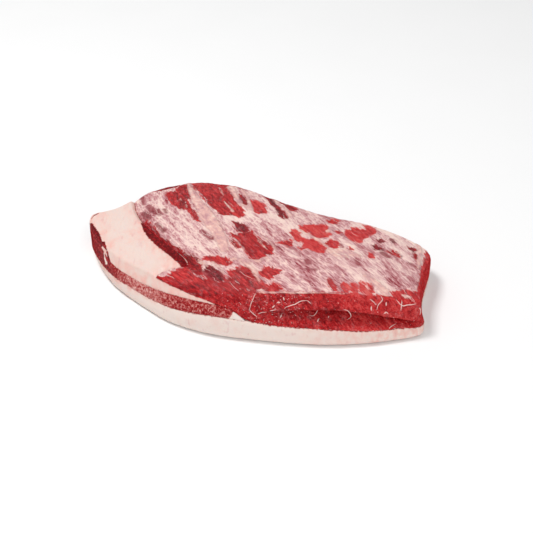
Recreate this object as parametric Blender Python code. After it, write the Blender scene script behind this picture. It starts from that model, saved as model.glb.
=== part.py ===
"""Whole raw beef brisket, lying on its fat cap with the lean side up.

Four solids lie on each other, as the side of the real piece shows them: the fat cap under everything,
a thin seam of lean that runs in from the left end, a wedge of hard fat that comes out on top at the left,
and the main muscle over all of it, with a deep fold in its front face.

Every layer is lofted over the same lines. Stations 0 to 12 run from the left tip to the right end,
and each is a line across the slab, from its front edge (v = 0) to its back edge (v = 1).
Dimensions are in millimetres; the meshes are in metres.
"""
import bpy
import bmesh
import numpy as np
from mathutils import Vector, noise

MM = 0.001
LAST_STATION = 12.0

# Plan of the slab where it rests: (station, x, y) along its front and back edges
FRONT_EDGE = (
    (0.0, -242, 99), (0.4, -238, 76), (1.0, -226, 40), (2.0, -199, -9), (3.0, -160, -50),
    (4.0, -114, -91), (5.0, -66, -114), (6.0, -18, -125), (7.0, 34, -133), (8.0, 86, -137),
    (9.0, 134, -134), (10.0, 172, -127), (11.0, 198, -120), (11.6, 208, -114), (12.0, 210, -105),
)
BACK_EDGE = (
    (0.0, -237, 112), (0.4, -226, 118), (1.0, -203, 125), (2.0, -170, 149), (3.0, -130, 168),
    (4.0, -86, 174), (5.0, -42, 165), (6.0, 6, 140), (7.0, 54, 112), (8.0, 104, 88),
    (9.0, 150, 74), (10.0, 192, 54), (11.0, 219, 36), (11.6, 230, 25), (12.0, 233, 13),
)

# Height of the slab's top along the front rim, the middle and the back, by station
TOP_FRONT = (
    (0, 38), (1, 43), (2, 48), (3, 53), (4, 57), (5, 58), (6, 62), (7, 67), (8, 69), (9, 65),
    (10, 57), (11, 50), (12, 46),
)
TOP_MIDDLE = (
    (0, 42), (1, 47), (2, 54), (3, 61), (4, 68), (5, 74), (6, 76), (7, 76), (8, 74), (9, 70),
    (10, 62), (11, 54), (12, 48),
)
TOP_BACK = (
    (0, 42), (1, 48), (2, 54), (3, 60), (4, 63), (5, 64), (6, 62), (7, 58), (8, 56), (9, 54),
    (10, 49), (11, 45), (12, 41),
)
MIDDLE = 0.45

# Thickness of the fat cap and of the lean seam, at the front and the back edge
CAP_FRONT = (
    (0, 10), (1, 18), (2, 21), (3, 21), (4, 27), (5, 31), (6, 31), (7, 28), (8, 25), (9, 22),
    (10, 19), (11, 17), (12, 16),
)
CAP_BACK = ((0, 9), (2, 13), (4, 14), (7, 13), (10, 12), (12, 11))
SEAM_FRONT = ((0, 25), (1, 22), (2, 14.5), (3, 13.5), (3.6, 15.5), (4.2, 16.5), (5, 15), (5.6, 12), (6, 0.8))
SEAM_BACK = ((0, 20), (1, 16), (2, 11), (3, 6), (4.2, 0.8))
CAP_WAVE, CAP_WAVE_RATE, CAP_WAVE_START = 0.8, 2.6, 0.5

# Where the layers end, as the station on each line across: (v, station)
LOBE_EDGE = (
    (0.0, 3.40), (0.08, 3.62), (0.14, 3.98), (0.20, 4.25), (0.26, 3.85), (0.32, 3.35),
    (0.40, 2.92), (0.51, 2.45), (0.76, 1.90), (1.0, 1.60),
)
HARD_FAT_END = ((0.0, 5.2), (0.25, 5.1), (0.6, 4.3), (1.0, 3.6))
SEAM_END = ((0.0, 6.0), (0.5, 5.2), (1.0, 4.2))

# A layer ends BLUNT thick and is gone after FADE stations; the muscle starts on the wedge of hard fat,
# which is never thinner than THINNEST_FAT over the seam
BLUNT, FADE = 0.8, 0.15
THINNEST_FAT = 2.5
WEDGE_EDGE = ((0, 3.8), (0.08, 4.6), (0.2, 8), (0.3, 10), (1, 10))
WEDGE_CURVE = 2.0

# Groove along the hard fat's edge: its depth by v, its reach in stations and the width of its wall
GROOVE_DEPTH = ((0, 0), (0.08, 0.8), (0.2, 4.5), (0.3, 5.5), (1, 5.5))
GROOVE_REACH, GROOVE_WALL = 0.28, 0.11

# How far the front face leans back from the base to the rim, and the base's own bulge and tuck
RIM_SETBACK = (
    (0, 3), (1, 11), (2, 13), (3, 15), (4, 16), (5, 14), (6, 14), (7, 18), (8, 21), (9, 20), (10, 12),
    (11, 6), (12, 3),
)
FACE_CURVE = 1.3
CAP_BULGE, BACK_BULGE = 2.4, 4.0
TIP_TUCK = ((0, 14), (0.6, 13), (1, 11), (2, 5), (3, 1), (4, 0), (12, 0))
TUCK_LIMIT = 0.3

# Shape of the right end over its last stations: how far the muscle's front corner stands in, how far the
# middle of the end bows in, and how far the cap's front corner reaches out
END_START, SETBACK_RISE = 10.0, 14.0
END_SETBACK, END_BOW, CAP_CORNER = 4.0, 5.5, 3.5

# How far the left tip is tucked in at its base, over its first stations and up to a height
TIP_INSET, TIP_STATIONS, TIP_HEIGHT = 6.0, 1.2, 26.0

# The fold in the front face: its depth, its height on the face, and the shape of its walls as
# (share of the height under the fold, or 1 + share above it; share of the depth)
FOLD_DEPTH = (
    (0, 0), (6.2, 0), (6.8, 7), (7.5, 17), (8.3, 25), (9.0, 24), (10, 17), (11, 9), (11.6, 3), (12, 0),
)
FOLD_HEIGHT = ((0, 0.5), (6.2, 0.5), (7, 0.56), (8, 0.6), (9, 0.52), (10, 0.36), (11, 0.22), (12, 0.16))
FOLD_WALLS = (
    (0.3, 0.3), (0.6, 0.62), (0.85, 0.88), (1.0, 1.0), (1.06, 0.84), (1.11, 0.42), (1.2, 0.05),
    (1.38, -0.06), (1.66, -0.03), (1.86, 0.0),
)

# Roundings, and the distance between stations near each end
BASE_ROUND = ((0, 20), (1, 15), (2, 10), (3, 8), (12, 7))
BASE_ROUND_LIMIT, THINNEST_CAP = 0.45, 0.7
RIM_ROUND = ((0, 2.5), (1, 3), (2, 4), (3, 5), (3.6, 3.5), (4.6, 3.5), (5.3, 6), (6, 7), (8, 9), (10, 9), (12, 6))
BACK_ROUND, BACK_ROUND_LIMIT = 15.0, 0.25
END_ROUND, END_BASE_ROUND = 5.0, 6.0
LEFT_SPACING, RIGHT_SPACING = 42.0, 34.0

# Room between neighbouring solids
GAP = 0.36

# Lines across each stretch of the slab: left of the hard fat's edge, its wedge, the seam's end, the rest
LEFT_LINES, WEDGE_LINES, SEAM_LINES, RIGHT_LINES = 11, 8, 3, 25
END_STEPS = (0.03, 0.09, 0.19)

# Rows along the slab: close together at both edges, and even between them
EDGE_STEPS = (0.0, 1.2, 3.6, 7.5, 14.0)
MEAN_WIDTH = 235.0
MIDDLE_ROWS = 21
ROWS_SKIPPED = 3
LOW_SIDE, SEAM_SIDE, FAT_SIDE, BACK_SIDE = (0.25, 0.5, 0.78), (0.33, 0.67), (0.4, 0.8), (0.35, 0.7)

# Relief of the top face: lumps, fibre bundles along the grain, and three bared bundles at the front
RELIEF_MARGIN = 0.07
LUMP_SIZE, LUMP_HEIGHT, LUMP_SEED = 34.0, 1.6, 3.1
FIBRE_LENGTH, FIBRE_WIDTH, FIBRE_HEIGHT, FIBRE_SEED = 42.0, 11.0, 1.25, 7.7
GRAIN_ANGLE = -38.0
FAT_CALM_LUMPS, FAT_CALM_FIBRES, FAT_FADE = 0.3, 0.9, 0.3
BUNDLE_SPOT, BUNDLE_REACH, BUNDLE_ANGLE = (-22.0, -78.0), 30.0, -62.0
BUNDLE_PITCH, BUNDLE_HEIGHT = 15.0, 3.2

SHARP_ANGLE = 50.0


def smooth_law(knots):
    """A function that runs smoothly through (place, value) knots, and stays level past both ends."""
    place = np.array([knot[0] for knot in knots], float)
    value = np.array([knot[1:] for knot in knots], float)
    step = np.diff(place)[:, None]
    slope = np.diff(value, axis=0) / step
    tangent = np.zeros_like(value)
    same_way = slope[1:] * slope[:-1] > 0
    weight_a, weight_b = 2 * step[1:] + step[:-1], step[1:] + 2 * step[:-1]
    safe_a, safe_b = (np.where(same_way, part, 1.0) for part in (slope[:-1], slope[1:]))
    mean = (weight_a + weight_b) / (weight_a / safe_a + weight_b / safe_b)
    tangent[1:-1] = np.where(same_way, mean, 0.0)
    tangent[0], tangent[-1] = slope[0], slope[-1]

    def at(where):
        where = np.clip(np.asarray(where, float), place[0], place[-1])
        i = np.clip(np.searchsorted(place, where, side="right") - 1, 0, len(step) - 1)
        h = step[i, 0]
        t = (where - place[i]) / h
        h, t = h[..., None], t[..., None]
        found = (
            value[i] * (1 + 2 * t) * (1 - t) ** 2 + tangent[i] * h * t * (1 - t) ** 2
            + value[i + 1] * t**2 * (3 - 2 * t) + tangent[i + 1] * h * t**2 * (t - 1)
        )
        return found[..., 0] if value.shape[1] == 1 else found

    return at


front_edge, back_edge = smooth_law(FRONT_EDGE), smooth_law(BACK_EDGE)
top_front, top_middle, top_back = (smooth_law(knots) for knots in (TOP_FRONT, TOP_MIDDLE, TOP_BACK))
cap_front, cap_back = smooth_law(CAP_FRONT), smooth_law(CAP_BACK)
seam_front, seam_back = smooth_law(SEAM_FRONT), smooth_law(SEAM_BACK)
lobe_edge, hard_fat_end, seam_end = (smooth_law(knots) for knots in (LOBE_EDGE, HARD_FAT_END, SEAM_END))
wedge_edge, groove_depth = smooth_law(WEDGE_EDGE), smooth_law(GROOVE_DEPTH)
rim_setback, tip_tuck = smooth_law(RIM_SETBACK), smooth_law(TIP_TUCK)
fold_depth, fold_height = smooth_law(FOLD_DEPTH), smooth_law(FOLD_HEIGHT)
base_round, rim_round = smooth_law(BASE_ROUND), smooth_law(RIM_ROUND)


def value_noise(x, y, seed):
    """Smooth noise between -1 and 1 over the plan, one blob for each unit."""
    flat = np.stack([np.ravel(x), np.ravel(y)], axis=1)
    found = [noise.noise(Vector((a, b, seed)), noise_basis="PERLIN_ORIGINAL") for a, b in flat]
    return np.array(found).reshape(np.shape(x))


def turned(x, y, degrees):
    """Plan coordinates along and across a direction."""
    angle = np.radians(degrees)
    return x * np.cos(angle) + y * np.sin(angle), y * np.cos(angle) - x * np.sin(angle)


def rounding(distance, radius):
    """How far a quarter-round edge drops at this distance from the edge."""
    short = np.clip(radius - distance, 0, radius)
    return radius - np.sqrt(np.maximum(radius**2 - short**2, 0))


def width_at(u):
    """Length of the line across the slab."""
    return np.linalg.norm(back_edge(u) - front_edge(u), axis=-1)


def plan_point(u, v, inset_front=0.0, inset_back=0.0):
    """Plan position of a point on line u, between edges that are moved in by the insets."""
    front, back = front_edge(u), back_edge(u)
    across = (back - front) / np.linalg.norm(back - front, axis=-1, keepdims=True)
    start = front + across * np.asarray(inset_front)[..., None]
    end = back - across * np.asarray(inset_back)[..., None]
    return start + (end - start) * np.asarray(v)[..., None]


def end_distance(u):
    """Distance to the nearer end of the slab."""
    return np.minimum(u * LEFT_SPACING, (LAST_STATION - u) * RIGHT_SPACING)


def smooth_top(u, v):
    """The slab's top without relief or rounded edges: a curve through front, middle and back."""
    return (
        top_front(u) * (v - MIDDLE) * (v - 1) / MIDDLE
        + top_middle(u) * v * (v - 1) / (MIDDLE * (MIDDLE - 1))
        + top_back(u) * v * (v - MIDDLE) / (1 - MIDDLE)
    )


def edge_drop(u, v):
    """Rounding of the top along the front rim, the back and both ends."""
    width = width_at(u)
    back_round = np.minimum(BACK_ROUND, BACK_ROUND_LIMIT * width)
    drop = rounding(v * width, rim_round(u)) + rounding((1 - v) * width, back_round)
    return drop + rounding(end_distance(u), END_ROUND)


def relief(u, v):
    """Lumps, fibre bundles along the grain and the bared bundles, calmer over the hard fat."""
    x, y = np.moveaxis(plan_point(u, v), -1, 0)
    on_fat = np.clip((lobe_edge(v) - u) / FAT_FADE, 0, 1)
    lumps = value_noise(x / LUMP_SIZE, y / LUMP_SIZE, LUMP_SEED) * LUMP_HEIGHT
    along, across = turned(x, y, GRAIN_ANGLE)
    fibres = value_noise(along / FIBRE_LENGTH, across / FIBRE_WIDTH, FIBRE_SEED) * FIBRE_HEIGHT
    near_x, near_y = turned(x - BUNDLE_SPOT[0], y - BUNDLE_SPOT[1], BUNDLE_ANGLE)
    near = np.exp(-(near_x**2 + near_y**2) / BUNDLE_REACH**2)
    bundles = np.cos(2 * np.pi * near_y / BUNDLE_PITCH) * near * BUNDLE_HEIGHT
    height = lumps * (1 - FAT_CALM_LUMPS * on_fat) + fibres * (1 - FAT_CALM_FIBRES * on_fat) + bundles
    return height * np.clip(np.minimum(v, 1 - v) / RELIEF_MARGIN, 0, 1)


def base_surface(u, v):
    """Underside of the fat cap: flat, curling up at the edges, though never through the cap."""
    width = width_at(u)
    radius = np.minimum(base_round(u), BASE_ROUND_LIMIT * width)
    lift = rounding(v * width, radius) + rounding((1 - v) * width, radius)
    lift = np.hypot(lift, rounding(end_distance(u), END_BASE_ROUND))
    most = THINNEST_CAP * cap_surface(u, v)
    return most * np.tanh(lift / most)


def cap_surface(u, v):
    """Top of the fat cap."""
    blend = v * v * (3 - 2 * v)
    wave = CAP_WAVE * np.sin(u * CAP_WAVE_RATE) * np.clip(u / CAP_WAVE_START, 0, 1)
    return cap_front(u) * (1 - blend) + cap_back(u) * blend + wave * (1 - v)


def seam_surface(u, v):
    """Top of the lean seam, which fades out towards its end line."""
    end = seam_end(v)
    front = seam_front(u * SEAM_FRONT[-1][0] / end)
    back = np.minimum(seam_back(u), front)
    room = smooth_top(u, v) - edge_drop(u, v) - cap_surface(u, v) - THINNEST_FAT
    thick = np.maximum(np.minimum(front * (1 - v) + back * v, room), BLUNT)
    fading = BLUNT * np.clip(1 - (u - end) / FADE, 0, 1)
    return cap_surface(u, v) + np.where(u > end, fading, thick)


def wedge_surface(u, v):
    """Underside of the main muscle: down the hard fat's wedge, then along the seam or the cap."""
    start, end = lobe_edge(v) + GROOVE_WALL, hard_fat_end(v)
    share = np.clip((u - start) / (end - start), 0, 1)
    high, low = smooth_top(u, v) - wedge_edge(v), seam_surface(u, v) + BLUNT
    fading = BLUNT * np.clip(1 - (u - end) / FADE, 0, 1)
    return np.where(u > end, seam_surface(u, v) + fading, high + (low - high) * share**WEDGE_CURVE)


def open_top(u, v):
    """Top of the slab with its relief and rounded edges."""
    return smooth_top(u, v) + relief(u, v) - edge_drop(u, v)


def fat_top(u, v):
    """Top of the hard fat: the slab's own top, then the wedge under the muscle."""
    return np.where(u <= lobe_edge(v) + 1e-6, open_top(u, v), wedge_surface(u, v))


def muscle_top(u, v):
    """Top of the main muscle, with the groove along the hard fat's edge."""
    beside = np.clip((u - lobe_edge(v) - GROOVE_WALL) / GROOVE_REACH, 0, None)
    return open_top(u, v) - groove_depth(v) * np.exp(-(beside**2))


def front_inset(u, z):
    """How far the front face stands in from the base's edge at height z."""
    low, high = cap_front(u), top_front(u)
    rise = np.clip((z - low) / (high - low), 0, 1)
    on_cap = np.clip(z / low, 0, 1)
    tuck = np.minimum(tip_tuck(u), TUCK_LIMIT * width_at(u)) * (1 - on_cap)
    return rim_setback(u) * rise**FACE_CURVE - CAP_BULGE * np.sin(np.pi * on_cap) + tuck


def back_inset(u, z):
    """How far the back face stands in from the base's edge at height z."""
    return BACK_BULGE * (1 - np.sin(np.pi * np.clip(z / top_back(u), 0, 1)))


def placed(u, v, z, front=0.0, back=0.0):
    """Points at height z, moved along the slab for the shapes of its right end and its left tip."""
    x, y = np.moveaxis(plan_point(u, v, front + 0 * u, back + 0 * u), -1, 0)
    near_end = np.clip((u - END_START) / (LAST_STATION - END_START), 0, 1) ** 2
    rise = np.clip((z - cap_surface(u, v)) / SETBACK_RISE, 0, 1)
    bow = v * (1 - v) ** 2 / (4 / 27)
    set_in = END_SETBACK * rise * (1 - v) + END_BOW * bow - CAP_CORNER * (1 - rise) * (1 - v) ** 2
    near_tip = np.clip(1 - u / TIP_STATIONS, 0, 1) ** 2
    tuck = TIP_INSET * near_tip * np.clip(1 - z / TIP_HEIGHT, 0, 1)
    return np.stack([x - near_end * set_in + tuck, y, z], axis=-1)


def line_stations(v):
    """The stations of every line across the slab, for each row v: an array of lines by rows."""
    lobe, fat_end, lean_end = lobe_edge(v), hard_fat_end(v), seam_end(v)
    left, right = END_STEPS[-1], LAST_STATION - END_STEPS[-1]
    wall = lobe + GROOVE_WALL
    lines = [np.full_like(v, step) for step in (0.0, *END_STEPS[:-1])]
    lines += [left + (lobe - left) * share for share in np.arange(LEFT_LINES) / LEFT_LINES]
    lines += [lobe]
    lines += [wall + (fat_end - wall) * share for share in np.arange(WEDGE_LINES) / WEDGE_LINES]
    lines += [fat_end + (lean_end - fat_end) * share for share in np.arange(SEAM_LINES) / SEAM_LINES]
    lines += [lean_end + (right - lean_end) * share for share in np.arange(RIGHT_LINES) / RIGHT_LINES]
    lines += [np.full_like(v, LAST_STATION - step) for step in (*END_STEPS[::-1], 0.0)]
    return np.array(lines)


LOBE_LINE = len(END_STEPS) + LEFT_LINES
WALL_LINE = LOBE_LINE + 1
FAT_END_LINE = WALL_LINE + WEDGE_LINES
SEAM_END_LINE = FAT_END_LINE + SEAM_LINES


def across_rows():
    """Values of v for the rows, close together at both edges."""
    edge = np.array(EDGE_STEPS) / MEAN_WIDTH
    middle = np.linspace(edge[-1], 1 - edge[-1], MIDDLE_ROWS + 1)
    return np.concatenate([edge[:-1], middle, 1 - edge[:-1][::-1]])


ALL_ROWS = list(range(len(across_rows())))
FEW_ROWS = sorted(set(ALL_ROWS[::ROWS_SKIPPED] + ALL_ROWS[:3] + ALL_ROWS[-3:]))


def sheet(surface, lift, stations, rows):
    """Points of one surface over the grid, whose edges follow the faces at the surface's height."""
    u = stations[:, rows]
    v = np.broadcast_to(across_rows()[rows], u.shape)
    z = surface(u, v) + lift
    return placed(u, v, z, front_inset(u[:, :1], z[:, :1]), back_inset(u[:, -1:], z[:, -1:]))


def front_side(u, low, high, rows, fold):
    """Rows of points up the front face of a layer, between its lowest and highest points."""
    found = []
    for row in rows:
        height, depth = row if fold else (row, 0.0)
        if fold:
            turn = fold_height(u)
            height = np.where(height <= 1, height * turn, turn + (height - 1) * (1 - turn))
        z = low + (high - low) * height
        found.append(placed(u, 0 * u, z, front=front_inset(u, z) + fold_depth(u) * depth))
    return found


def back_side(u, low, high):
    """Rows of points up the back face of a layer."""
    found = []
    for height in BACK_SIDE:
        z = low + (high - low) * height
        found.append(placed(u, 0 * u + 1, z, back=back_inset(u, z)))
    return found


def layer(name, lower, upper, lines, low_rows, high_rows, side_rows, material, fold=False):
    """A closed solid between two surfaces over a range of lines, lofted line by line."""
    stations = line_stations(across_rows())[lines]
    low = sheet(lower, 0.0 if lower is base_surface else GAP / 2, stations, low_rows)
    high = sheet(upper, 0.0 if upper is muscle_top else -GAP / 2, stations, high_rows)
    front = front_side(stations[:, 0], low[:, 0, 2], high[:, 0, 2], side_rows, fold)
    back = back_side(stations[:, -1], low[:, -1, 2], high[:, -1, 2])
    return skin(name, low, high, front, back, material)


def skin(name, low, high, front, back, material):
    """Mesh of a layer: both sheets, the strips between them and the two end faces."""
    bm = bmesh.new()

    def corners(rows):
        return [[bm.verts.new(Vector(point) * MM) for point in row] for row in rows]

    low, high, front, back = corners(low), corners(high), corners(front), corners(back)
    loops = []
    for k, bottom in enumerate(low):
        up_back = [row[k] for row in back]
        down_front = [row[k] for row in front][::-1]
        loops.append(bottom + up_back + high[k][::-1] + down_front)
    for one, two in zip(loops, loops[1:]):
        for i, corner in enumerate(one):
            after = (i + 1) % len(one)
            bm.faces.new((corner, one[after], two[after], two[i]))
    for k in (0, len(low) - 1):
        close_end(bm, low[k], high[k], [row[k] for row in front], [row[k] for row in back], k == 0)
    bmesh.ops.triangulate(bm, faces=bm.faces, quad_method="SHORT_EDGE", ngon_method="EAR_CLIP")
    mesh = bpy.data.meshes.new(name)
    bm.to_mesh(mesh)
    bm.free()
    mesh.shade_smooth()
    mesh.set_sharp_from_angle(angle=np.radians(SHARP_ANGLE))
    mesh.materials.append(material)
    return mesh


def close_end(bm, low, high, front, back, flip):
    """End face between a lower and an upper row, as cells that span one lower step each."""
    cells = len(low) - 1
    split = [round(i * (len(high) - 1) / cells) for i in range(cells + 1)]
    for i in range(cells):
        corners = [low[i], low[i + 1]]
        if i == cells - 1:
            corners += back
        corners += high[split[i]:split[i + 1] + 1][::-1]
        if i == 0:
            corners += front[::-1]
        bm.faces.new(corners[::-1] if flip else corners)


def finish(name, colour, roughness):
    """Principled material with a plain colour."""
    material = bpy.data.materials.new(name)
    material.use_nodes = True
    shader = material.node_tree.nodes["Principled BSDF"]
    shader.inputs["Base Color"].default_value = (*colour, 1)
    shader.inputs["Roughness"].default_value = roughness
    shader.inputs["Metallic"].default_value = 0
    return material


def build():
    """The four layers, with the middle of their plan over the origin and the base at its height."""
    for obj in list(bpy.data.objects):
        bpy.data.objects.remove(obj)
    brisket = bpy.data.collections.new("beef_brisket")
    bpy.context.scene.collection.children.link(brisket)

    cap_fat = finish("cap_fat", (0.82, 0.66, 0.58), 0.45)
    seam_lean = finish("seam_lean", (0.50, 0.12, 0.11), 0.4)
    hard_fat = finish("hard_fat", (0.87, 0.74, 0.66), 0.45)
    muscle_lean = finish("muscle_lean", (0.46, 0.08, 0.08), 0.35)

    meshes = (
        layer("fat_cap", base_surface, cap_surface, slice(None), FEW_ROWS, FEW_ROWS, LOW_SIDE, cap_fat),
        layer("lean_seam", cap_surface, seam_surface, slice(0, SEAM_END_LINE + 1), FEW_ROWS, FEW_ROWS,
              SEAM_SIDE, seam_lean),
        layer("hard_fat", seam_surface, fat_top, slice(0, FAT_END_LINE + 1), FEW_ROWS, ALL_ROWS,
              FAT_SIDE, hard_fat),
        layer("main_muscle", wedge_surface, muscle_top, slice(WALL_LINE, None), ALL_ROWS, ALL_ROWS,
              FOLD_WALLS, muscle_lean, fold=True),
    )
    points = [np.array([vertex.co for vertex in mesh.vertices]) for mesh in meshes]
    low, high = np.concatenate(points).min(axis=0), np.concatenate(points).max(axis=0)
    foot = np.array(((low[0] + high[0]) / 2, (low[1] + high[1]) / 2, low[2]))
    for mesh, place in zip(meshes, points):
        mesh.vertices.foreach_set("co", (place - foot).ravel())
        mesh.update()
        brisket.objects.link(bpy.data.objects.new(mesh.name, mesh))


build()
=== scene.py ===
"""Looks of the raw beef brisket: its fat cap, lean seam, hard fat and main muscle, with the torn membrane,
sinew and flecks of fat on them, on a pale floor in soft light.

Lengths are in metres unless a name or a comment says mm.
"""
import math

import bmesh
import bpy
import numpy as np
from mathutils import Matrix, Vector
from mathutils.bvhtree import BVHTree


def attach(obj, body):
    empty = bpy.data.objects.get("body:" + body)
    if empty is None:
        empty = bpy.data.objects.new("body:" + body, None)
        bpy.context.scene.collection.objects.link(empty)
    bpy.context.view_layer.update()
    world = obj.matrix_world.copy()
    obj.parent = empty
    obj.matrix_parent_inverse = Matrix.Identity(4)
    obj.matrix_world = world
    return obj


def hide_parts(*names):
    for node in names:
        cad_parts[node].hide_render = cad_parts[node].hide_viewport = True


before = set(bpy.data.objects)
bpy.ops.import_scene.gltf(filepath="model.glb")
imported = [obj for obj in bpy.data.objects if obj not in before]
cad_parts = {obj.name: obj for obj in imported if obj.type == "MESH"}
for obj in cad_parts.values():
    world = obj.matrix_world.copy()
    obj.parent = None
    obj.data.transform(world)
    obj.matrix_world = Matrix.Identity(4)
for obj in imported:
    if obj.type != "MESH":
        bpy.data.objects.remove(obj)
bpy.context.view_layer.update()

bl_info = {
    "name": "Raw beef brisket",
    "version": (1, 0, 0),
    "blender": (4, 5, 0),
    "location": "3D View > Sidebar > Brisket",
    "description": "Dresses the solids of a whole raw brisket and sets its stage",
    "category": "Object",
}

MM = 0.001

# Layers of fat and the seam between them, by node: (piece, slot, colour, share of pink in it)
FAT_LAYERS = {
    "fat_cap": ("fat_cap_slab", "cap_fat", "cap_fat", 0.3),
    "lean_seam": ("lean_seam_layer", "seam_lean", "cap_fat", 0.3),
    "hard_fat": ("hard_fat_lobe", "hard_fat", "hard_fat", 0.45),
}

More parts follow.
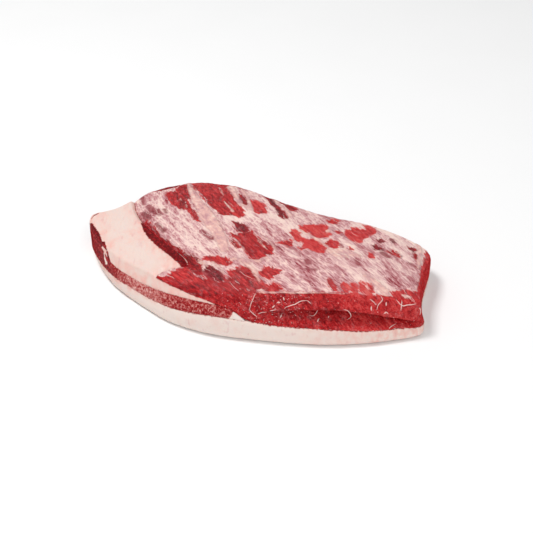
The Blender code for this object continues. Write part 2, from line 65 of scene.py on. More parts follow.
# Outlines and strands on the top face lie in mm seen from above, and were read off the photo.
# Bared lean: (name, tone from dark mauve at -1 to bright red at 1, outline)
BARED_LEAN = (
    ("left window", -0.1, (
        (-131, 118), (-118, 122), (-112, 140), (-100, 142), (-98, 120), (-93, 100), (-92, 92), (-98, 92),
        (-96, 82), (-90, 70), (-86, 58), (-82, 44), (-77, 29), (-82, 31), (-88, 45), (-93, 56), (-98, 66),
        (-102, 64), (-108, 70), (-113, 78), (-120, 90), (-127, 104))),
    ("left rim", -0.45, ((-150, 130), (-136, 126), (-118, 134), (-104, 146), (-110, 158), (-140, 150))),
    ("big window", 0.1, (
        (-95, 160), (-94, 138), (-88, 122), (-80, 108), (-76, 97), (-70, 80), (-66, 70), (-60, 58),
        (-55, 55), (-53, 45), (-48, 40), (-36, 39), (-30, 38), (-22, 34), (-17, 38), (-18, 50), (-20, 62),
        (-26, 66), (-28, 80), (-33, 98), (-39, 110), (-44, 126), (-38, 131), (-25, 127), (-12, 124),
        (-8, 135), (-30, 150), (-60, 162))),
    ("third window", 0.6, (
        (-10, 87), (-3, 84), (8, 76), (12, 70), (15, 58), (16, 50), (13, 45), (3, 44), (-3, 48), (-6, 60),
        (-9, 72))),
    ("sliver by it", -0.5, ((-24, 102), (-18, 98), (-14, 85), (-12, 72), (-15, 63), (-20, 72), (-23, 85))),
    ("long strip", -0.55, (
        (12, 120), (20, 108), (24, 92), (30, 78), (34, 66), (38, 58), (44, 40), (43, 35), (36, 36),
        (31, 42), (28, 55), (24, 68), (19, 80), (15, 95), (10, 108))),
    ("strip behind it", -0.35, ((28, 98), (38, 94), (48, 84), (57, 72), (52, 64), (46, 64), (40, 76),
        (33, 88))),
    ("central window", 0.0, (
        (-7, 0), (-1, -12), (6, -20), (14, -27), (20, -38), (22, -52), (21, -62), (14, -58), (8, -61),
        (4, -65), (-8, -63), (-10, -54), (-15, -44), (-20, -33), (-27, -20), (-33, -12), (-34, -5),
        (-26, -8), (-20, -6))),
    ("its upper end", -0.5, ((-34, 26), (-24, 22), (-14, 12), (-7, 0), (-16, -6), (-24, -2), (-30, 10))),
    ("its left tongue", -0.1, ((-36, -20), (-30, -21), (-24, -29), (-21, -38), (-25, -40), (-31, -32))),
    ("right cluster", 0.8, (
        (58, 18), (66, 20), (74, 26), (80, 24), (88, 27), (95, 31), (99, 24), (97, 14), (94, 6), (100, 0),
        (97, -8), (92, -12), (86, -15), (78, -14), (74, -8), (72, 0), (66, -3), (62, 4), (59, 10))),
    ("cluster's front", 0.7, (
        (46, 4), (52, 4), (58, -4), (60, -14), (64, -18), (74, -17), (80, -19), (84, -26), (90, -34),
        (92, -40), (90, -52), (82, -52), (74, -47), (68, -42), (60, -45), (56, -41), (62, -36), (63, -30),
        (60, -24), (56, -28), (52, -24), (50, -14), (44, -4))),
    ("cluster's right", 0.5, (
        (92, -20), (98, -15), (106, -16), (112, -24), (108, -34), (104, -41), (98, -39), (94, -35),
        (90, -28))),
    ("small patch", 0.2, ((28, -30), (36, -26), (44, -22), (48, -26), (49, -36), (44, -40), (38, -34))),
    ("far right window", 0.75, (
        (120, 16), (126, 17), (130, 26), (136, 27), (142, 24), (149, 24), (147, 38), (152, 44), (158, 38),
        (163, 30), (165, 22), (162, 14), (156, 8), (152, 2), (148, -4), (143, -10), (140, -18), (134, -20),
        (128, -17), (122, -8), (119, 0), (121, 8))),
    ("behind it", 0.4, ((97, 44), (106, 52), (114, 48), (112, 38), (104, 34), (98, 36))),
    ("speck between", 0.2, ((106, 11), (112, 14), (117, 7), (111, 3))),
    ("bright spot", 0.7, ((146, -51), (149, -44), (155, -42), (157, -48), (154, -55), (148, -56))),
    ("spot in front", 0.3, ((120, -36), (126, -34), (128, -40), (122, -41))),
    ("mauve spot", -0.7, ((154, -22), (160, -19), (167, -26), (164, -32), (157, -32))),
    ("mauve fleck", -0.8, ((161, -4), (168, -1), (171, -7), (166, -11))),
    ("right streaks", -0.1, ((174, -26), (182, -27), (190, -35), (189, -39), (180, -37), (174, -32))),
    ("end spot", -0.5, ((204, -8), (211, -5), (216, -12), (211, -18), (205, -15))),
    ("end streak", -0.2, ((210, -22), (216, -21), (217, -30), (213, -37), (210, -31))),
    ("front lobe one", 0.6, ((108, -116), (113, -112), (118, -118), (118, -130), (112, -133), (108, -126))),
    ("front lobe two", 0.8, ((121, -113), (125, -110), (129, -114), (130, -128), (125, -132), (120, -126))),
    ("front lobe three", 0.9, ((131, -110), (136, -107), (141, -111), (142, -128), (136, -132), (131, -126))),
    ("front lobe four", 0.6, ((142, -111), (147, -110), (151, -118), (149, -126), (143, -128))),
    ("front lobe five", 0.0, ((91, -108), (96, -107), (100, -114), (104, -128), (98, -132), (93, -122))),
    ("corner clump", 0.5, (
        (172, -120), (182, -116), (192, -112), (202, -108), (212, -102), (216, -125), (205, -140),
        (175, -140))),
    ("left front patch", 0.3, (
        (-104, -68), (-92, -66), (-85, -76), (-78, -86), (-70, -92), (-70, -99), (-80, -104), (-92, -108),
        (-104, -106), (-120, -92), (-124, -80), (-112, -76))),
    ("groove", -0.3, (
        (-158, 52), (-153, 54), (-140, 31), (-126, 8), (-112, -12), (-96, -32), (-82, -44), (-72, -58),
        (-70, -72), (-70, -86), (-78, -86), (-88, -70), (-98, -60), (-112, -38), (-130, -10), (-146, 16),
        (-158, 44))),
    ("patch at the fork", 0.25, (
        (-68, -50), (-60, -51), (-48, -54), (-40, -56), (-36, -62), (-31, -70), (-38, -73), (-46, -70),
        (-52, -66), (-60, -60), (-68, -55))),
    ("under the mauve bundle", 0.1, (
        (-76, -84), (-66, -92), (-50, -101), (-38, -101), (-34, -112), (-60, -108), (-76, -100))),
    ("between the bundles", -0.1, (
        (-36, -82), (-26, -80), (-10, -79), (-2, -92), (6, -104), (12, -116), (0, -122), (-30, -114),
        (-38, -100))),
    ("mauve bundle", -0.75, (
        (-66, -68), (-58, -72), (-50, -80), (-42, -90), (-38, -98), (-44, -102), (-55, -100), (-64, -90),
        (-68, -80))),
    ("first bundle", 0.9, (
        (-34, -80), (-28, -82), (-27, -92), (-22, -104), (-14, -114), (-18, -119), (-28, -112), (-34, -100),
        (-37, -90))),
    ("second bundle", 0.2, (
        (-24, -84), (-19, -80), (-17, -92), (-12, -104), (-6, -114), (-10, -118), (-17, -108), (-22, -96))),
    ("third bundle", 0.0, (
        (-18, -78), (-10, -79), (-5, -90), (-2, -100), (5, -112), (8, -120), (2, -120), (-5, -112),
        (-12, -100), (-17, -88))),
    ("oval", 0.25, (
        (5, -88), (10, -82), (18, -80), (26, -84), (33, -88), (30, -94), (24, -98), (18, -104), (9, -99),
        (5, -94))),
    ("below the oval", 0.3, ((10, -113), (22, -112), (30, -116), (33, -124), (26, -128), (14, -126),
        (8, -120))),
    ("front rim's right", 0.9, ((96, -131), (150, -130), (182, -128), (200, -140), (120, -160))),
    ("front rim's left", -0.7, ((-122, -84), (-100, -95), (-66, -96), (-60, -114), (-110, -112))),
    ("front rim", 0.05, (
        (-118, -88), (-100, -97), (-82, -101), (-66, -98), (-50, -101), (-38, -102), (-24, -112),
        (-8, -119), (6, -124), (24, -128), (60, -131), (110, -132), (150, -130), (180, -128), (200, -140),
        (60, -160), (-60, -140), (-110, -108))),
    ("right end's edge", 0.35, (
        (240, 4), (230, -4), (226, -24), (220, -44), (215, -70), (210, -92), (206, -110), (216, -130),
        (240, -60))),
)

# Raised white strands and cream patches: (name, path of (x, y, half width))
WHITE_STRANDS = (
    ("tendon", ((-99, 152, 2), (-97, 128, 3), (-89, 102, 5), (-82, 78, 7), (-72, 52, 9), (-62, 24, 10),
                (-54, 4, 9), (-46, -18, 8), (-42, -40, 6))),
    ("strand two", ((-38, 124, 5), (-32, 106, 4), (-28, 88, 3), (-24, 72, 2.5), (-12, 60, 5))),
    ("strand three", ((-22, 120, 2), (-17, 106, 2), (-12, 90, 2), (-10, 72, 2.5), (-8, 56, 4))),
    ("strand four", ((25, 98, 1.5), (30, 83, 2), (36, 70, 2), (43, 58, 3), (48, 46, 5))),
    ("cream streak", ((61, 4, 1.5), (68, -8, 3), (76, -14, 2.5), (86, -26, 1.8), (94, -37, 1.5))),
    ("cream patch", ((97, 8, 3.5), (102, 14, 3.5))),
    ("cream cluster", ((96, -48, 5), (108, -46, 6), (122, -50, 5), (134, -55, 3))),
    ("cluster two", ((104, -56, 4), (116, -60, 4))),
    ("white front", ((140, -98, 3), (152, -107, 5), (163, -120, 6), (166, -130, 4))),
    ("rim's white edge", ((2, -124, 1.5), (22, -129, 2), (50, -132, 2), (80, -133, 1.5), (112, -134, 1.5))),
    ("fork strand", ((-56, -64, 1), (-48, -76, 1.5), (-40, -88, 1.3))),
    ("groove strand", ((-76, -54, 1), (-70, -63, 1.8), (-64, -70, 1.2))),
    ("bundle's strand", ((-16, -70, 3), (-6, -79, 2.5), (0, -92, 2.2), (4, -104, 1.8))),
    ("under the window", ((-30, -62, 3), (-14, -68, 4), (2, -69, 3), (14, -65, 2.5))),
    ("window's edge", ((8, -13, 1.2), (16, -25, 1.5), (23, -38, 1.2), (27, -50, 1))),
    ("window streak", ((2, -19, 0.8), (9, -33, 1), (14, -44, 0.8))),
    ("tongue streak", ((-27, -20, 0.8), (-21, -32, 1.1))),
    ("big window streak", ((-54, 124, 1.5), (-50, 112, 1), (-47, 100, 0.8))),
    ("big window streak two", ((-45, 80, 0.8), (-38, 63, 1), (-32, 52, 1.5))),
    ("left window streak", ((-108, 98, 0.7), (-100, 82, 1), (-97, 70, 0.8))),
    ("corner fat", ((190, -122, 3), (196, -121, 2.5))),
    ("end's fat", ((220, 10, 4), (220, -14, 3), (216, -40, 3), (213, -56, 2))),
)

# Dark streaks that show through the membrane: (name, path of (x, y, half width))
DARK_STREAKS = (
    ("back left", ((-164, 119, 2.5), (-160, 99, 2))),
    ("left one", ((-153, 89, 3), (-147, 77, 5), (-140, 65, 3))),
    ("left two", ((-158, 75, 4), (-150, 60, 5))),
    ("left three", ((-138, 74, 3), (-133, 60, 2.5))),
    ("left four", ((-129, 72, 2.5), (-125, 61, 2))),
    ("left five", ((-173, 77, 2), (-165, 64, 3))),
    ("grey", ((-138, 40, 2), (-125, 20, 3))),
    ("by the tendon", ((-73, 6, 3), (-60, -15, 4))),
    ("right one", ((162, -26, 4), (166, -30, 4))),
    ("right two", ((186, -34, 5), (190, -38, 4))),
    ("right three", ((210, -12, 3), (213, -34, 3))),
    ("right four", ((183, 4, 3), (185, -6, 3))),
    ("right five", ((168, -40, 5), (173, -46, 4))),
    ("right six", ((201, -50, 2.5), (213, -57, 2))),
    ("middle one", ((111, -26, 3), (113, -34, 3))),
    ("middle two", ((131, -64, 3), (133, -74, 3))),
    ("middle three", ((66, -72, 4), (68, -77, 4))),
    ("front one", ((66, -88, 2), (76, -91, 2))),
)

# Films of the membrane: (tone from thin and mauve at -1 to thick and white at 1, x, y, reach)
FILM_TONES = (
    (-0.1, -140, 70, 40), (0.1, -100, 20, 40), (0.15, -80, -25, 32), (0.5, -118, 15, 16),
    (0.95, 25, 25, 30), (0.9, 0, 45, 18), (-0.2, 10, 100, 25), (-0.9, 8, 4, 20), (-0.3, 75, 48, 30),
    (0.7, 190, 18, 34), (0.6, 200, -25, 22), (-0.9, 22, -12, 16), (-0.7, 34, -45, 18), (-0.35, 50, -70, 28),
    (-0.7, 60, -96, 30), (0.1, 60, -122, 20), (-0.3, 118, -88, 30), (0.8, 148, -100, 18),
    (-0.35, 190, -70, 34), (-0.2, 165, -30, 26), (-0.8, 196, -95, 20), (0.5, 112, -52, 20),
)

# Front rim of the top face, in mm seen from above
FRONT_RIM = ((-130, -74), (-110, -92), (-90, -103), (-60, -114), (-20, -124), (20, -130), (60, -133),
             (110, -134), (150, -131), (190, -126), (215, -122))

# Lean that shows on the hard fat along the groove: (x, y, half width)
GROOVE_EDGE = ((-158, 46, 2), (-150, 28, 5), (-140, 10, 7), (-124, -16, 7), (-104, -44, 6.5), (-94, -57, 5),
               (-88, -68, 3))

# Lean at the left tip outside its seam, and fat inside it: (name, path of (x, y, z, half width))
TIP_LEAN = (
    ("corner", ((-233, 82, 42, 0.8), (-229, 87, 44, 1.3), (-225, 90, 45, 1))),
    ("tip", ((-233, 70, 39, 3), (-229, 57, 40, 5), (-223, 42, 40, 6), (-219, 29, 41, 6.5),
        (-214, 17, 41, 5))),
    ("lower prong", ((-216, 21, 36, 4), (-214, 13, 33, 3), (-213, 9, 28, 2))),
    ("upper prong", ((-210, 15, 45, 3.5), (-206, 3, 45, 2.5), (-203, -5, 41, 2.4), (-200, -12, 36, 3))),
)
TIP_FAT = (
    ("between the prongs", ((-210, 9, 42, 0.8), (-208, 4, 38, 1.2), (-207, -2, 32, 2), (-204, -9, 29, 3))),
)

# Where the seam ends under the main muscle: at this x in mm where z is the second number, and slanting
SEAM_END, SEAM_END_HEIGHT, SEAM_END_SLANT = -29, 40, 0.7

# Widths in mm of the lean's colour on the edge of the fat, and of the fat's on the edge of the seam
LEAN_EDGE, FAT_EDGE = 0.36, 0.25

# The fold's floor: below this height, this near to the front rim and right of this x, in mm
FOLD_HEIGHT, FOLD_REACH, FOLD_START = 50, 12, -20

# How much a face of the muscle looks backwards where the membrane ends and the lean is bared
BACK_RIM = 0.43

# A value for points far outside every outline, and the reach in mm over which tones of patches blend
FAR_OUTSIDE, TONE_REACH = -40.0, 2.5

# How the fibres of the main muscle slant across its width, and how they bend to each mm of it
FIBRE_SLANT, FIBRE_BEND = 0.58, 0.0011

# Sinew on the front face and over the fold: (path of (x, y, z), radius in mm)
SINEW = (
    (((0, -126, 64), (-3, -133, 61), (-6, -135, 53), (-8, -138, 46)), 0.5),
    (((-8, -138, 46), (-3, -141, 42), (2, -143, 38)), 0.5),
    (((3, -141, 42), (9, -140, 44), (14, -139, 44)), 0.5),
    (((18, -141, 47), (26, -141, 49)), 0.5),
    (((37, -141, 52), (43, -140, 54), (50, -139, 56), (57, -138, 60), (65, -138, 61)), 0.6),
    (((65, -138, 61), (70, -140, 57)), 0.5),
    (((27, -137, 57), (31, -137, 57)), 0.9),
    (((21, -140, 51), (24, -139, 54)), 0.8),
    (((35, -135, 64), (36, -136, 60)), 0.9),
    (((31, -143, 37), (33, -140, 40)), 0.8),
    (((78, -146, 33), (80, -142, 35)), 0.8),
    (((92, -140, 35), (93, -138, 36)), 0.8),
    (((146, -138, 52), (146, -141, 47)), 0.9),
    (((165, -135, 56), (165, -136, 51)), 0.8),
    (((162, -141, 42), (165, -140, 44), (168, -141, 42)), 0.6),
    (((178, -131, 57), (183, -134, 52), (187, -135, 50), (192, -133, 50), (198, -131, 49),
        (204, -129, 49)), 0.65),
    (((208, -130, 43), (211, -128, 38), (210, -130, 32)), 0.7),
    (((185, -130, 55), (184, -136, 44)), 0.6),
    (((158, -130, 62), (160, -134, 59), (155, -137, 53), (153, -140, 47)), 0.5),
    (((144, -135, 61), (149, -136, 57), (152, -137, 53)), 0.5),
)
LOOSE_SINEW = (
    (((68, -139, 38), (74, -144, 42), (80, -143, 53)), 0.35),
    (((111, -144, 51), (116, -145, 50), (120, -145, 44), (120, -142, 37), (116, -140, 32)), 0.5),
    (((179, -137, 23), (174, -141, 23), (170, -144, 21), (168, -147, 16)), 0.5),
)

# Sizes of the network of lighter lines in the membrane and of the fibres, as (along, across) in mm
LENS, SMALL_LENS = (15, 4.5), (7, 2.0)
FIBRE, BUNDLE, PATCH = (7, 1.1), (24, 4.2), (40, 14)

# Length and width of the fibre bundles that stand up in the lean
RIDGE_LENGTH, RIDGE_WIDTH = 0.030, 0.0055

# Where random threads lie, in mm, and the y before which flecks of fat show
THREADS_X, THREADS_Y = (-160, 220), (-132, 150)
FLECKS_BEFORE = -0.11

# A height above the meat, from which it is looked down at
ABOVE = 0.2

# Lights: (place, size), and the floor's size and how far it lies below the meat
KEY_LIGHT = ((-1.0, 0.1, 2.7), 0.8)
FILL_LIGHT = ((1.1, -2.6, 2.1), 2.0)
FLOOR_SIZE, FLOOR_DROP = 12, 0.0003


class BrisketColours(bpy.types.PropertyGroup):
    """Colours of lean, membrane and fat, as they look in soft white light."""

    def colour(name, description, default):
        return bpy.props.FloatVectorProperty(
            name=name, description=description, default=default, subtype="COLOR", min=0, max=1)

    # Dark lean is partly painted shade: the muscle shows it in the fold and between fibre bundles.
    lean_dark: colour("Dark lean", "Lean between bundles and in folds", (0.10, 0.002, 0.004))
    lean_red: colour("Lean", "Most of the lean", (0.34, 0.007, 0.010))
    lean_bright: colour("Bright lean", "Fresh cut lean", (0.62, 0.034, 0.036))
    lean_light: colour("Light lean", "Lightest fibres of the lean", (0.66, 0.12, 0.10))
    lean_mauve: colour("Mauve lean", "Lean under a thin film", (0.28, 0.022, 0.036))
    film_mauve: colour("Thin membrane", "Membrane that the lean shines through", (0.48, 0.18, 0.195))
    film_grey: colour("Membrane", "Greyish pink membrane", (0.63, 0.33, 0.335))
    film_white: colour("Thick membrane", "Whitish membrane", (0.84, 0.58, 0.54))
    strand_white: colour("Strands", "Strands and cream patches", (0.90, 0.68, 0.60))
    hard_fat: colour("Hard fat", "Cream lobe of hard fat", (0.77, 0.61, 0.55))
    fat_blush: colour("Blush", "Pink tinge of fat near lean", (0.80, 0.46, 0.40))
    cap_fat: colour("Fat cap", "White fat of the cap", (0.83, 0.70, 0.64))
    seam_pink: colour("Seam", "Pinkish lean of the seam", (0.55, 0.16, 0.14))


class BrisketRelief(bpy.types.PropertyGroup):
    """Sizes of the relief and of what lies on the meat."""

    def length(name, description, default):
        return bpy.props.FloatProperty(
            name=name, description=description, default=default, unit="LENGTH", precision=5)

    swell: length("Swell", "How far each piece is swollen to close the gaps between them", 0.0002)
    window_depth: length("Window depth", "How far bared lean lies below the membrane", 0.0009)
    strand_height: length("Strand height", "How far white strands stand up", 0.0008)
    fibre_height: length("Fibre height", "Height of the fibre bundles in the lean", 0.0016)
    lump_height: length("Lump height", "Height of soft lumps", 0.0022)
    lump_size: length("Lump size", "Size of soft lumps", 0.016)
    thread_radius: length("Thread radius", "Radius of the threads on the membrane", 0.00028)
    threads: bpy.props.IntProperty(name="Threads", description="How many threads lie on it", default=150)
    fleck_size: length("Fleck size", "Half the length of a fleck of fat in the lean", 0.0011)
    fleck_density: bpy.props.FloatProperty(
        name="Fleck density", description="Flecks to a square metre where they are thickest", default=26000)
    seed: bpy.props.IntProperty(name="Seed", description="Seed of all random draws", default=7)


class BrisketStage(bpy.types.PropertyGroup):
    """Camera, floor and lights."""

    elevation: bpy.props.FloatProperty(
        name="Camera elevation", description="Angle of the camera above the floor", subtype="ANGLE",
        default=math.radians(35))
    distance: bpy.props.FloatProperty(
        name="Camera distance", description="From the camera to its target", unit="LENGTH", default=1.70)
    lens: bpy.props.FloatProperty(name="Focal length", description="In millimetres", default=85.0)
    target: bpy.props.FloatVectorProperty(
        name="Target", description="What the camera looks at", subtype="TRANSLATION",
        default=(0.0137, -0.0193, 0.030))
    floor_colour: bpy.props.FloatVectorProperty(
        name="Floor", description="Plain pale floor", subtype="COLOR", default=(0.92, 0.92, 0.92))
    key_power: bpy.props.FloatProperty(name="Key light", description="Its power in watts", default=46.0)
    fill_power: bpy.props.FloatProperty(name="Fill light", description="Its power in watts", default=32.0)
    sky: bpy.props.FloatProperty(name="Sky", description="Strength of the white surroundings", default=0.5)


def smooth_step(value, low, high):
    """0 below low, 1 above high and a smooth turn between them."""
    t = np.clip((value - low) / (high - low), 0, 1)
    return t * t * (3 - 2 * t)


def outline_distance(x, y, outline):
    """Distance in mm to an outline, positive inside."""
    px, py = np.array(outline, float).T
    nearest = np.full(x.shape, 1e9)
    inside = np.zeros(x.shape, bool)
    for ax, ay, bx, by in zip(px, py, np.roll(px, -1), np.roll(py, -1)):
        dx, dy = bx - ax, by - ay
        t = np.clip(((x - ax) * dx + (y - ay) * dy) / (dx * dx + dy * dy), 0, 1)
        nearest = np.minimum(nearest, np.hypot(x - ax - t * dx, y - ay - t * dy))
        if ay != by:
            crosses = (ay > y) != (by > y)
            inside ^= crosses & (x < (bx - ax) * (y - ay) / (by - ay) + ax)
    return np.where(inside, nearest, -nearest)


def strand_distance(points, path):
    """Distance in mm to a strand of changing width, positive inside; points and path in plan or in space."""
    size = points.shape[1]
    best = np.full(len(points), -1e9)
    for a, b in zip(np.array(path[:-1], float), np.array(path[1:], float)):
        step = b[:size] - a[:size]
        t = np.clip((points - a[:size]) @ step / (step @ step), 0, 1)
        away = np.linalg.norm(points - a[:size] - t[:, None] * step, axis=1)
        best = np.maximum(best, a[size] + (b[size] - a[size]) * t - away)
    return best


def all_strands(points, strands):
    """Distance in mm to the nearest of many strands, positive inside."""
    return np.maximum.reduce([strand_distance(points, path) for name, path in strands])


def along_fibres(x, y):
    """Coordinates in mm along and across the fibres of the main muscle, which bend towards the front."""
    return y, x + FIBRE_SLANT * y - FIBRE_BEND * y**2


def points_of(mesh):
    co = np.empty(len(mesh.vertices) * 3, np.float32)
    mesh.vertices.foreach_get("co", co)
    return co.reshape(-1, 3).astype(float)


def normals_of(mesh):
    found = np.empty(len(mesh.vertices) * 3, np.float32)
    mesh.vertex_normals.foreach_get("vector", found)
    return found.reshape(-1, 3).astype(float)


def keep_value(mesh, name, values):
    """Stores a number for each vertex, which the material and the relief read by name."""
    attribute = mesh.attributes.new(name, "FLOAT", "POINT")
    attribute.data.foreach_set("value", values.astype(np.float32))


def keep_grain(mesh, along, across, z):
    """Stores the place along, across and under the fibres, in metres."""
    attribute = mesh.attributes.new("grain", "FLOAT_VECTOR", "POINT")
    places = np.column_stack([along, across, z]) * MM
    attribute.data.foreach_set("vector", places.astype(np.float32).ravel())


def tree_of(mesh):
    """Search tree over a mesh."""
    return BVHTree.FromPolygons([v.co for v in mesh.vertices], [p.vertices for p in mesh.polygons])


def distance_to(points, trees):
    """Distance in mm from each point to the nearest of some surfaces."""
    found = np.full(len(points), 1e3)
    for tree in trees:
        found = np.minimum(found, [tree.find_nearest(Vector(point))[3] / MM for point in points])
    return found


def depth_under_top(points, tree):
    """How far in mm each point lies under the highest surface over it."""
    down = Vector((0, 0, -1))
    depth = np.zeros(len(points))
    for i, (x, y, z) in enumerate(points):
        hit = tree.ray_cast(Vector((x, y, ABOVE)), down)[0]
        if hit is not None:
            depth[i] = (hit.z - z) / MM
    return depth


def evaluated_mesh(obj, name):
    """Plain mesh of what an object's modifiers make."""
    bpy.context.view_layer.update()
    graph = bpy.context.evaluated_depsgraph_get()
    mesh = bpy.data.meshes.new_from_object(obj.evaluated_get(graph))
    mesh.name = name
    return mesh


def node_tree_of(node):
    """Search tree over a solid of the part."""
    return tree_of(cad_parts[node].data)


def fine_mesh(node, levels):
    """A smooth, finely divided copy of a solid's mesh."""
    bm = bmesh.new()
    bm.from_mesh(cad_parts[node].data)
    bmesh.ops.remove_doubles(bm, verts=bm.verts, dist=1e-6)
    bmesh.ops.join_triangles(
        bm, faces=bm.faces, angle_face_threshold=math.radians(60), angle_shape_threshold=math.radians(80))
    bm.verts.index_update()
    points = [vertex.co.copy() for vertex in bm.verts]
    faces = [[vertex.index for vertex in face.verts] for face in bm.faces]
    bm.free()
    coarse = bpy.data.meshes.new(node + "_coarse")
    coarse.from_pydata(points, [], faces)
    cage = bpy.data.objects.new(node + "_cage", coarse)
    bpy.context.scene.collection.objects.link(cage)
    smooth = cage.modifiers.new("Smooth", "SUBSURF")
    smooth.levels = smooth.render_levels = levels
    smooth.boundary_smooth = "PRESERVE_CORNERS"
    mesh = evaluated_mesh(cage, node + "_skin")
    bpy.data.objects.remove(cage)
    return mesh


def refine(mesh, wanted):
    """Halves the faces whose vertices are all wanted, so that thin lines have vertices enough."""
    bm = bmesh.new()
    bm.from_mesh(mesh)
    chosen = set()
    for face in bm.faces:
        if all(wanted[vertex.index] for vertex in face.verts):
            chosen.update(face.edges)
    bmesh.ops.subdivide_edges(bm, edges=list(chosen), cuts=1, use_grid_fill=True, smooth=0.0)
    bm.to_mesh(mesh)
    bm.free()
    mesh.update()


def finish_piece(mesh, name, node, material):
    """Makes a mesh a shown piece for a solid."""
    mesh.shade_smooth()
    mesh.materials.clear()
    mesh.materials.append(material)
    piece = bpy.data.objects.new(name, mesh)
    bpy.context.scene.collection.objects.link(piece)
    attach(piece, "root")
    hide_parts(node)
    return piece


class Nodes:
    """Short ways to add nodes to a shader tree or a geometry tree."""

    def __init__(self, tree):
        self.tree = tree

    def put(self, socket, value):
        if isinstance(value, bpy.types.NodeSocket):
            self.tree.links.new(value, socket)
        elif hasattr(socket.default_value, "__len__") and len(socket.default_value) == 4:
            socket.default_value = (*value[:3], 1)
        else:
            socket.default_value = value

    def node(self, kind, inputs=None, **settings):
        made = self.tree.nodes.new(kind)
        for key, value in settings.items():
            setattr(made, key, value)
        for key, value in (inputs or {}).items():
            self.put(made.inputs[key], value)
        return made

    def math(self, operation, a, b=0.0):
        return self.node("ShaderNodeMath", {0: a, 1: b}, operation=operation).outputs[0]

    def add(self, first, *others):
        for other in others:
            first = self.math("ADD", first, other)
        return first

    def times(self, a, b):
        return self.math("MULTIPLY", a, b)

    def swing(self, value, amount):
        """A noise around a half, turned into one around nought that swings by an amount."""
        inputs = {0: value, 1: amount, 2: -0.5 * amount}
        return self.node("ShaderNodeMath", inputs, operation="MULTIPLY_ADD").outputs[0]

    def vector(self, operation, a, b):
        return self.node("ShaderNodeVectorMath", {0: a, 1: b}, operation=operation).outputs[0]

    def noise(self, place, scale=1.0, detail=3.0, rough=0.55):
        inputs = {"Vector": place, "Scale": scale, "Detail": detail, "Roughness": rough}
        return self.node("ShaderNodeTexNoise", inputs).outputs[0]


class Shading(Nodes):
    """A material whose colours and relief come from the place and from numbers kept on the mesh."""

    def __init__(self, name):
        self.material = bpy.data.materials.new(name)
        self.material.use_nodes = True
        super().__init__(self.material.node_tree)
        self.shader = self.tree.nodes["Principled BSDF"]

    def ramp(self, value, low, high, start=0.0, end=1.0):
        inputs = {"Value": value, "From Min": low, "From Max": high, "To Min": start, "To Max": end}
        return self.node("ShaderNodeMapRange", inputs, interpolation_type="SMOOTHSTEP").outputs[0]

    def mix(self, share, a, b):
        made = self.node("ShaderNodeMix", {0: share}, data_type="RGBA")
        self.put(made.inputs[6], a)
        self.put(made.inputs[7], b)
        return made.outputs[2]

    def stops(self, value, *colours):
        """Runs through evenly spaced colours as a value goes from 0 to 1."""
        made = self.node("ShaderNodeValToRGB", {0: value})
        while len(made.color_ramp.elements) < len(colours):
            made.color_ramp.elements.new(0.5)
        for i, colour in enumerate(colours):
            made.color_ramp.elements[i].position = i / (len(colours) - 1)
            made.color_ramp.elements[i].color = (*colour, 1)
        return made.outputs[0]

    def value(self, name):
        return self.node("ShaderNodeAttribute", attribute_name=name).outputs["Fac"]

    def place(self, size=1.0, stretch=(1, 1, 1), turn=(0, 0, 0)):
        """Place on the object in units of a size in mm."""
        where = self.node("ShaderNodeTexCoord").outputs["Object"]
        scale = [1 / (size * MM * part) for part in stretch]
        return self.node("ShaderNodeMapping", {0: where, "Rotation": turn, "Scale": scale}).outputs[0]

    def grain(self, bend, reach):
        """Place along the fibres, bent this way and that by a few mm over a reach in mm."""
        where = self.node("ShaderNodeAttribute", attribute_name="grain").outputs["Vector"]
        wave = self.node("ShaderNodeTexNoise", {"Vector": self.place(reach), "Scale": 1, "Detail": 2})
        inputs = {0: wave.outputs["Color"], 1: (bend * MM, bend * MM, bend * MM), 2: where}
        return self.node("ShaderNodeVectorMath", inputs, operation="MULTIPLY_ADD").outputs[0]

    def stretched(self, grain, size):
        """The grain in units of (along, across) in mm."""
        return self.vector("MULTIPLY", grain, (1 / (size[0] * MM), 1 / (size[1] * MM), 1 / (size[1] * MM)))

    def web(self, place, width):
        """1 on the lines between cells and 0 inside them."""
        cells = self.node("ShaderNodeTexVoronoi", {"Vector": place, "Scale": 1}, feature="DISTANCE_TO_EDGE")
        return self.ramp(cells.outputs[0], 0.0, width, 1.0, 0.0)

    def gloss(self, weight):
        """Weight of the wet coat, less of it on faces seen edge on."""
        facing = self.node("ShaderNodeLayerWeight", {"Blend": 0.5}).outputs["Facing"]
        return self.ramp(facing, 0.45, 0.85, weight, 0.05 * weight)

    def bump(self, height, distance, strength=1.0):
        inputs = {"Height": height, "Distance": distance, "Strength": strength}
        return self.node("ShaderNodeBump", inputs).outputs[0]

    def finish(self, colour, roughness, normal, **sockets):
        self.put(self.shader.inputs["Base Color"], colour)
        self.put(self.shader.inputs["Roughness"], roughness)
        self.put(self.shader.inputs["Normal"], normal)
        self.put(self.shader.inputs["Coat Normal"], normal)
        for name, value in sockets.items():
            self.shader.inputs[name.replace("_", " ")].default_value = value
        return self.material


WET = {"Subsurface_Weight": 0.05, "Subsurface_Radius": (0.003, 0.001, 0.0008), "Subsurface_Scale": 1.0,
       "Specular_IOR_Level": 0.0, "Coat_Roughness": 0.10}


